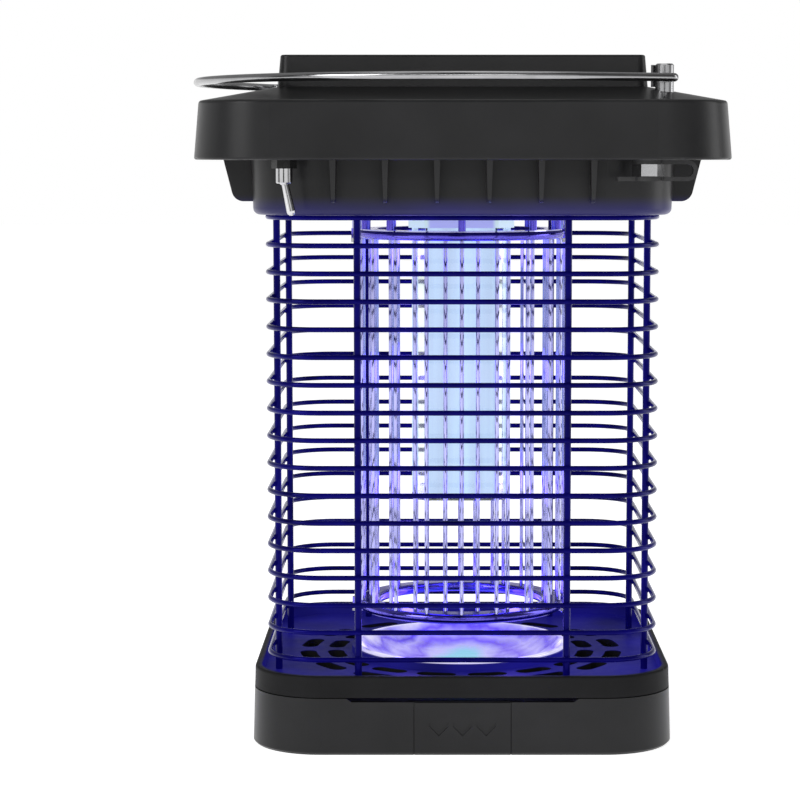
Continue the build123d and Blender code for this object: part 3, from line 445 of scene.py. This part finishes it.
def link_piece(name, vertices, faces, material, body):
    """A new smooth-shaded mesh that rides on a CAD body."""
    mesh = bpy.data.meshes.new(name)
    mesh.from_pydata(vertices, [], faces)
    mesh.polygons.foreach_set("use_smooth", [True] * len(faces))
    mesh.materials.append(material)
    piece = bpy.data.objects.new(name, mesh)
    bpy.context.scene.collection.objects.link(piece)
    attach(piece, body)


def lathe(profile, steps):
    """Vertices and faces of a (radius, height) profile turned about the upright axis."""
    vertices = []
    for radius, height in profile:
        for step in range(steps):
            angle = 2 * math.pi * step / steps
            vertices.append((radius * math.cos(angle), radius * math.sin(angle), height))
    faces = []
    for row in range(len(profile) - 1):
        for step in range(steps):
            a = row * steps + step
            b = row * steps + (step + 1) % steps
            faces.append((a, b, b + steps, a + steps))
    return vertices, faces


def weld_beads():
    """Small fused bead at every crossing of a ring and a post, between the two wires."""
    rings_low, rings_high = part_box("cage_rings")
    wire = RING_WIRE / 2
    seam = rings_high.x - 2 * wire
    first, last = rings_low.z + wire, rings_high.z - wire
    bead, bead_faces = lathe(BEAD_OUTLINE, BEAD_STEPS)
    vertices, faces = [], []
    for level in range(RING_COUNT):
        height = first + (last - first) * level / (RING_COUNT - 1)
        for side in range(4):
            turn = math.radians(90 * side)
            for near in (-POST_NEAR, POST_NEAR):
                start = len(vertices)
                for x, y, z in bead:
                    out, along = seam + x * BEAD_OUT, near + y * BEAD_ALONG
                    vertices.append((
                        out * math.cos(turn) - along * math.sin(turn),
                        out * math.sin(turn) + along * math.cos(turn),
                        height + z * BEAD_RISE,
                    ))
                faces += [tuple(start + corner for corner in face) for face in bead_faces]
    link_piece("weld_beads", vertices, faces, cage_coat_painted_glow, "root")


weld_beads()

# ---------------------------------------------------------------- studio

floor_mesh = bpy.data.meshes.new("floor")
floor_corners = [(x * FLOOR_HALF, y * FLOOR_HALF, 0) for x, y in ((-1, -1), (1, -1), (1, 1), (-1, 1))]
floor_mesh.from_pydata(floor_corners, [], [(0, 1, 2, 3)])
floor = bpy.data.objects.new("floor", floor_mesh)
bpy.context.scene.collection.objects.link(floor)
paper = Shader("floor_paper")
paper.colour(paper.noise(3, 2), (0.88, 0.88, 0.88, 1), (0.92, 0.92, 0.92, 1))
paper.set(Roughness=0.9, Specular_IOR_Level=0.1, Emission_Strength=0.8)
paper.colour(paper.noise(3, 2), (0.97, 0.97, 0.97, 1), WHITE, "Emission Color")
floor_mesh.materials.append(paper.material)


def studio_world():
    """White room hung with upright dark and grey flags; the camera itself sees plain white."""
    world = bpy.data.worlds.new("studio")
    bpy.context.scene.world = world
    world.use_nodes = True
    tree = world.node_tree
    place = tree.nodes.new("ShaderNodeTexCoord")
    split = tree.nodes.new("ShaderNodeSeparateXYZ")
    forward = tree.nodes.new("ShaderNodeMath")
    forward.operation = "MULTIPLY"
    forward.inputs[1].default_value = -1
    turn = tree.nodes.new("ShaderNodeMath")
    turn.operation = "ARCTAN2"
    spread = tree.nodes.new("ShaderNodeMapRange")
    spread.inputs["From Min"].default_value = -math.pi
    spread.inputs["From Max"].default_value = math.pi
    ramp = tree.nodes.new("ShaderNodeValToRGB")
    # brightness over the compass: degrees from the front, growing to the right
    stops = [
        (-92, 1.0), (-86, 0.15), (-61, 0.15), (-58, 1.0), (-15, 1.0), (-12, 0.05), (3, 0.05), (6, 1.0),
        (48, 1.0), (52, 0.3), (78, 0.3), (82, 1.0), (108, 1.0), (111, 0.02), (125, 0.02), (128, 1.0),
    ]
    while len(ramp.color_ramp.elements) < len(stops):
        ramp.color_ramp.elements.new(1.0)
    for element, (angle, value) in zip(ramp.color_ramp.elements, stops):
        element.position = (angle + 180) / 360
        element.color = (value, value, value, 1)
    # the room is dim above the horizon, so roofs stay dark
    rise = tree.nodes.new("ShaderNodeMapRange")
    rise.interpolation_type = "SMOOTHSTEP"
    for socket, value in (("From Min", 0.10), ("From Max", 0.22), ("To Min", 1.0), ("To Max", 0.30)):
        rise.inputs[socket].default_value = value
    dimmed = tree.nodes.new("ShaderNodeVectorMath")
    dimmed.operation = "SCALE"
    tree.links.new(split.outputs["Z"], rise.inputs["Value"])
    tree.links.new(ramp.outputs["Color"], dimmed.inputs[0])
    tree.links.new(rise.outputs["Result"], dimmed.inputs["Scale"])
    path = tree.nodes.new("ShaderNodeLightPath")
    plain = tree.nodes.new("ShaderNodeBackground")
    plain.inputs["Color"].default_value = WHITE
    choose = tree.nodes.new("ShaderNodeMixShader")
    tree.links.new(place.outputs["Generated"], split.inputs["Vector"])
    tree.links.new(split.outputs["Y"], forward.inputs[0])
    tree.links.new(split.outputs["X"], turn.inputs[0])
    tree.links.new(forward.outputs[0], turn.inputs[1])
    tree.links.new(turn.outputs[0], spread.inputs["Value"])
    tree.links.new(spread.outputs["Result"], ramp.inputs["Fac"])
    tree.links.new(dimmed.outputs["Vector"], tree.nodes["Background"].inputs["Color"])
    tree.links.new(path.outputs["Is Camera Ray"], choose.inputs["Fac"])
    tree.links.new(tree.nodes["Background"].outputs["Background"], choose.inputs[1])
    tree.links.new(plain.outputs["Background"], choose.inputs[2])
    tree.links.new(choose.outputs["Shader"], tree.nodes["World Output"].inputs["Surface"])


def softbox(name, place, aim, size, power):
    """Rectangular soft light turned towards a point."""
    data = bpy.data.lights.new(name, "AREA")
    data.shape = "RECTANGLE"
    data.size, data.size_y = size
    data.energy = power
    light = bpy.data.objects.new(name, data)
    bpy.context.scene.collection.objects.link(light)
    light.location = place
    light.rotation_euler = (Vector(aim) - Vector(place)).to_track_quat("-Z", "Y").to_euler()


def glow(name, place):
    """Ultraviolet point of light inside the cage."""
    data = bpy.data.lights.new(name, "POINT")
    data.energy = GLOW_POWER
    data.color = ULTRAVIOLET
    data.shadow_soft_size = GLOW_SIZE
    light = bpy.data.objects.new(name, data)
    bpy.context.scene.collection.objects.link(light)
    light.location = place


studio_world()
middle = Vector((0, 0, 0.12))
softbox("key_left", (-1.2, -1.0, 0.9), middle, (0.8, 0.8), 11)
softbox("rim_right", (1.3, 0.2, 0.5), middle, (0.5, 1.0), 3)
softbox("front_strip", (0.1, -1.7, 0.75), middle, (1.4, 0.12), 3)
softbox("top", (0, 0.2, 1.6), middle, (1.0, 1.0), 3)

for step in range(GLOW_LEVELS):
    height = GLOW_START + step * GLOW_STEP
    for side in range(4):
        angle = math.radians(45 + 90 * side)
        place = (GLOW_RADIUS * math.cos(angle), GLOW_RADIUS * math.sin(angle), height)
        glow(f"glow_{step}_{side}", place)

# ---------------------------------------------------------------- camera

camera_data = bpy.data.cameras.new("camera")
camera_data.lens = CAMERA_LENS
camera_data.shift_x, camera_data.shift_y = CAMERA_SHIFT
camera_data.clip_start = 0.01
camera = bpy.data.objects.new("camera", camera_data)
bpy.context.scene.collection.objects.link(camera)
camera.location = CAMERA_PLACE
camera.rotation_euler = (CAMERA_TILT, 0, 0)
bpy.context.scene.camera = camera
bpy.context.scene.view_settings.view_transform = "Standard"
